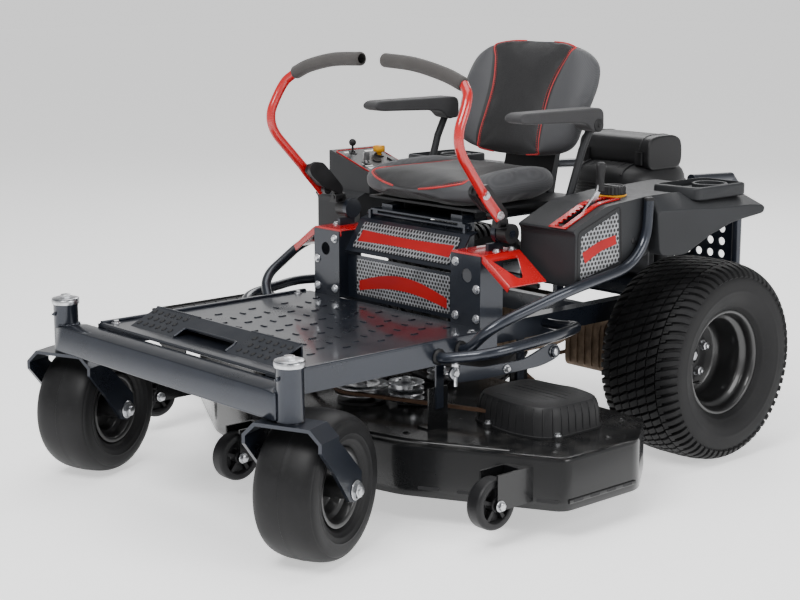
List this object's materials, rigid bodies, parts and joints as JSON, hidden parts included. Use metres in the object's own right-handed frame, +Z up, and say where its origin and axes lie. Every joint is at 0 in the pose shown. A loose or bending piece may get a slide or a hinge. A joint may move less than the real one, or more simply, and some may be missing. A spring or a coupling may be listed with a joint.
{
  "type": "zero turn mower",
  "caption": "Ride-on zero turn mower: steel frame on caster and drive wheels, padded seat between two swinging lap bars, rear engine and a belt-driven cutting deck.",
  "frame": {"origin": "on the ground, below the middle of the whole machine", "axes": "-Y is the direction of travel, +X is to the operator's left, +Z is up"},
  "size_m": [1.58, 1.8354, 1.0663],
  "materials": {
    "frame_paint": "gloss metallic",
    "deck_paint": "gloss",
    "red_paint": "gloss",
    "dark_tube": "gloss",
    "body_plastic": "fine grain",
    "cover_plastic": "satin",
    "engine_metal": "satin",
    "hydro_cast": "cast",
    "steel": "bright",
    "zinc": "zinc plated",
    "cast_alloy": "cast",
    "muffler_steel": "heat tinted",
    "rim_paint": "gloss",
    "rear_rubber": "turf tread",
    "caster_rubber": "smooth",
    "seat_vinyl": "grained",
    "arm_foam": "skinned foam",
    "grip_foam": "foam",
    "yellow_plastic": "gloss",
    "black_cast": "satin",
    "belt_rubber": "matte",
    "wheel_plastic": "satin"
  },
  "bodies": {
    "frame": {"frame_rails": "frame_paint", "front_beam": "frame_paint", "floor_pan": "frame_paint", "foot_step": "frame_paint", "front_panels": "frame_paint", "uprights": "frame_paint", "guard_plates": "red_paint", "guard_tubes": "dark_tube", "rear_bumper": "dark_tube", "engine_plate": "deck_paint", "console_l": "body_plastic", "console_r": "body_plastic", "fenders": "body_plastic", "control_panel": "body_plastic", "engine_block": "engine_metal", "engine_cover": "cover_plastic", "muffler": "muffler_steel", "hydro_units": "hydro_cast"},
    "crank": {"crankshaft": "steel"},
    "pto_switch": {"pto_knob": "yellow_plastic"},
    "key": {"ignition_key": "steel"},
    "throttle": {"throttle_lever": "cover_plastic"},
    "tank_cap": {"fuel_cap": "cover_plastic"},
    "rear_wheel_l": {"rear_rim_l": "rim_paint", "rear_tyre_l": "rear_rubber"},
    "rear_wheel_r": {"rear_rim_r": "rim_paint", "rear_tyre_r": "rear_rubber"},
    "caster_l": {"caster_fork_l": "frame_paint"},
    "caster_r": {"caster_fork_r": "frame_paint"},
    "caster_wheel_l": {"caster_rim_l": "rim_paint", "caster_tyre_l": "caster_rubber"},
    "caster_wheel_r": {"caster_rim_r": "rim_paint", "caster_tyre_r": "caster_rubber"},
    "seat_plate": {"seat_base": "black_cast"},
    "seat": {"seat_pan": "black_cast", "seat_cushion": "seat_vinyl", "seat_back": "seat_vinyl"},
    "arm_l": {"armrest_l": "arm_foam"},
    "arm_r": {"armrest_r": "arm_foam"},
    "yoke_l": {"lever_yoke_l": "black_cast"},
    "yoke_r": {"lever_yoke_r": "black_cast"},
    "bar_l": {"lever_bracket_l": "black_cast", "lap_bar_l": "red_paint", "grip_l": "grip_foam"},
    "bar_r": {"lever_bracket_r": "black_cast", "lap_bar_r": "red_paint", "grip_r": "grip_foam"},
    "lift_lever": {"height_lever": "zinc"},
    "deck": {"deck_shell": "deck_paint", "belt_covers": "cover_plastic", "deck_belt": "belt_rubber", "deck_brackets": "black_cast", "spindle_housings": "cast_alloy"},
    "chute": {"discharge_chute": "cover_plastic"},
    "cutter_l": {"blade_l": "steel"},
    "cutter_c": {"blade_c": "steel"},
    "cutter_r": {"blade_r": "steel"},
    "anti_scalp_l": {"gauge_wheel_l": "wheel_plastic"},
    "anti_scalp_c": {"gauge_wheel_c": "wheel_plastic"},
    "anti_scalp_r": {"gauge_wheel_r": "wheel_plastic"}
  },
  "joints": [
    {"name": "rear_spin_l", "type": "hinge", "parent": "frame", "child": "rear_wheel_l", "pos_m": [0.537, 0.48575, 0.26], "axis": [1, 0, 0], "continuous": true},
    {"name": "caster_swivel_l", "type": "hinge", "parent": "frame", "child": "caster_l", "pos_m": [0.534, -0.84625, 0.4], "axis": [0, 0, 1], "continuous": true},
    {"name": "caster_spin_l", "type": "hinge", "parent": "caster_l", "child": "caster_wheel_l", "pos_m": [0.49392, -0.74704, 0.165], "axis": [0.9272, 0.3746, 0], "continuous": true},
    {"name": "lap_bar_drive_l", "type": "hinge", "parent": "frame", "child": "yoke_l", "pos_m": [0.407, -0.07025, 0.626], "axis": [1, 0, 0], "range_deg": [-12, 18]},
    {"name": "lap_bar_open_l", "type": "hinge", "parent": "yoke_l", "child": "bar_l", "pos_m": [0.393, -0.10425, 0.656], "axis": [0, 1, 0], "range_deg": [0, 28]},
    {"name": "armrest_l", "type": "hinge", "parent": "seat", "child": "arm_l", "pos_m": [0.356, 0.26375, 0.863], "axis": [-1, 0, 0], "range_deg": [0, 70]},
    {"name": "rear_spin_r", "type": "hinge", "parent": "frame", "child": "rear_wheel_r", "pos_m": [-0.357, 0.48575, 0.26], "axis": [1, 0, 0], "continuous": true},
    {"name": "caster_swivel_r", "type": "hinge", "parent": "frame", "child": "caster_r", "pos_m": [-0.354, -0.84625, 0.4], "axis": [0, 0, 1], "continuous": true},
    {"name": "caster_spin_r", "type": "hinge", "parent": "caster_r", "child": "caster_wheel_r", "pos_m": [-0.39408, -0.74704, 0.165], "axis": [0.9272, 0.3746, 0], "continuous": true},
    {"name": "lap_bar_drive_r", "type": "hinge", "parent": "frame", "child": "yoke_r", "pos_m": [-0.227, -0.07025, 0.626], "axis": [1, 0, 0], "range_deg": [-12, 18]},
    {"name": "lap_bar_open_r", "type": "hinge", "parent": "yoke_r", "child": "bar_r", "pos_m": [-0.213, -0.10425, 0.656], "axis": [0, -1, 0], "range_deg": [0, 28]},
    {"name": "armrest_r", "type": "hinge", "parent": "seat", "child": "arm_r", "pos_m": [-0.176, 0.26375, 0.863], "axis": [-1, 0, 0], "range_deg": [0, 70]},
    {"name": "deck_lift", "type": "slide", "parent": "frame", "child": "deck", "axis": [0, 0, 1], "range_m": [-0.036, 0.012], "deforming": ["deck_belt"]},
    {"name": "height_lever", "type": "hinge", "parent": "frame", "child": "lift_lever", "pos_m": [0.52, 0.02575, 0.545], "axis": [-1, 0, 0], "range_deg": [-20, 7]},
    {"name": "seat_tilt", "type": "hinge", "parent": "frame", "child": "seat_plate", "pos_m": [0.09, -0.08425, 0.626], "axis": [1, 0, 0], "range_deg": [0, 45]},
    {"name": "seat_slide", "type": "slide", "parent": "seat_plate", "child": "seat", "axis": [0, -1, 0], "range_m": [-0.04, 0.06]},
    {"name": "crank_spin", "type": "hinge", "parent": "frame", "child": "crank", "pos_m": [0.09, 0.72775, 0.4], "axis": [0, 0, 1], "continuous": true},
    {"name": "blade_spin_l", "type": "hinge", "parent": "deck", "child": "cutter_l", "pos_m": [0.54, -0.10425, 0.15], "axis": [0, 0, 1], "continuous": true},
    {"name": "blade_spin_c", "type": "hinge", "parent": "deck", "child": "cutter_c", "pos_m": [0.09, -0.27425, 0.15], "axis": [0, 0, 1], "continuous": true},
    {"name": "blade_spin_r", "type": "hinge", "parent": "deck", "child": "cutter_r", "pos_m": [-0.36, -0.10425, 0.15], "axis": [0, 0, 1], "continuous": true},
    {"name": "gauge_wheel_spin_l", "type": "hinge", "parent": "deck", "child": "anti_scalp_l", "pos_m": [0.697, -0.42125, 0.1], "axis": [1, 0, 0], "continuous": true},
    {"name": "gauge_wheel_spin_c", "type": "hinge", "parent": "deck", "child": "anti_scalp_c", "pos_m": [0.026, -0.61925, 0.1], "axis": [1, 0, 0], "continuous": true},
    {"name": "gauge_wheel_spin_r", "type": "hinge", "parent": "deck", "child": "anti_scalp_r", "pos_m": [-0.594, -0.44125, 0.1], "axis": [1, 0, 0], "continuous": true},
    {"name": "chute_lift", "type": "hinge", "parent": "deck", "child": "chute", "pos_m": [-0.618, -0.11425, 0.198], "axis": [0, 1, 0], "range_deg": [0, 50]},
    {"name": "fuel_cap_turn", "type": "hinge", "parent": "frame", "child": "tank_cap", "pos_m": [0.49, 0.19475, 0.707], "axis": [0, 0, 1], "continuous": true},
    {"name": "pto_pull", "type": "slide", "parent": "frame", "child": "pto_switch", "axis": [0, 0, 1], "range_m": [0, 0.01]},
    {"name": "key_turn", "type": "hinge", "parent": "frame", "child": "key", "pos_m": [-0.25, 0.03575, 0.731], "axis": [0, 0, -1], "range_deg": [0, 90]},
    {"name": "throttle_swing", "type": "hinge", "parent": "frame", "child": "throttle", "pos_m": [-0.32, 0.04575, 0.75251], "axis": [1, 0, 0], "range_deg": [-8, 8]}
  ],
  "couplings": [
    {"joint": "height_lever", "follows": "deck_lift", "rad_per_m": 9},
    {"joint": "blade_spin_l", "follows": "crank_spin", "ratio": 1},
    {"joint": "blade_spin_c", "follows": "crank_spin", "ratio": 1},
    {"joint": "blade_spin_r", "follows": "crank_spin", "ratio": 1}
  ]
}
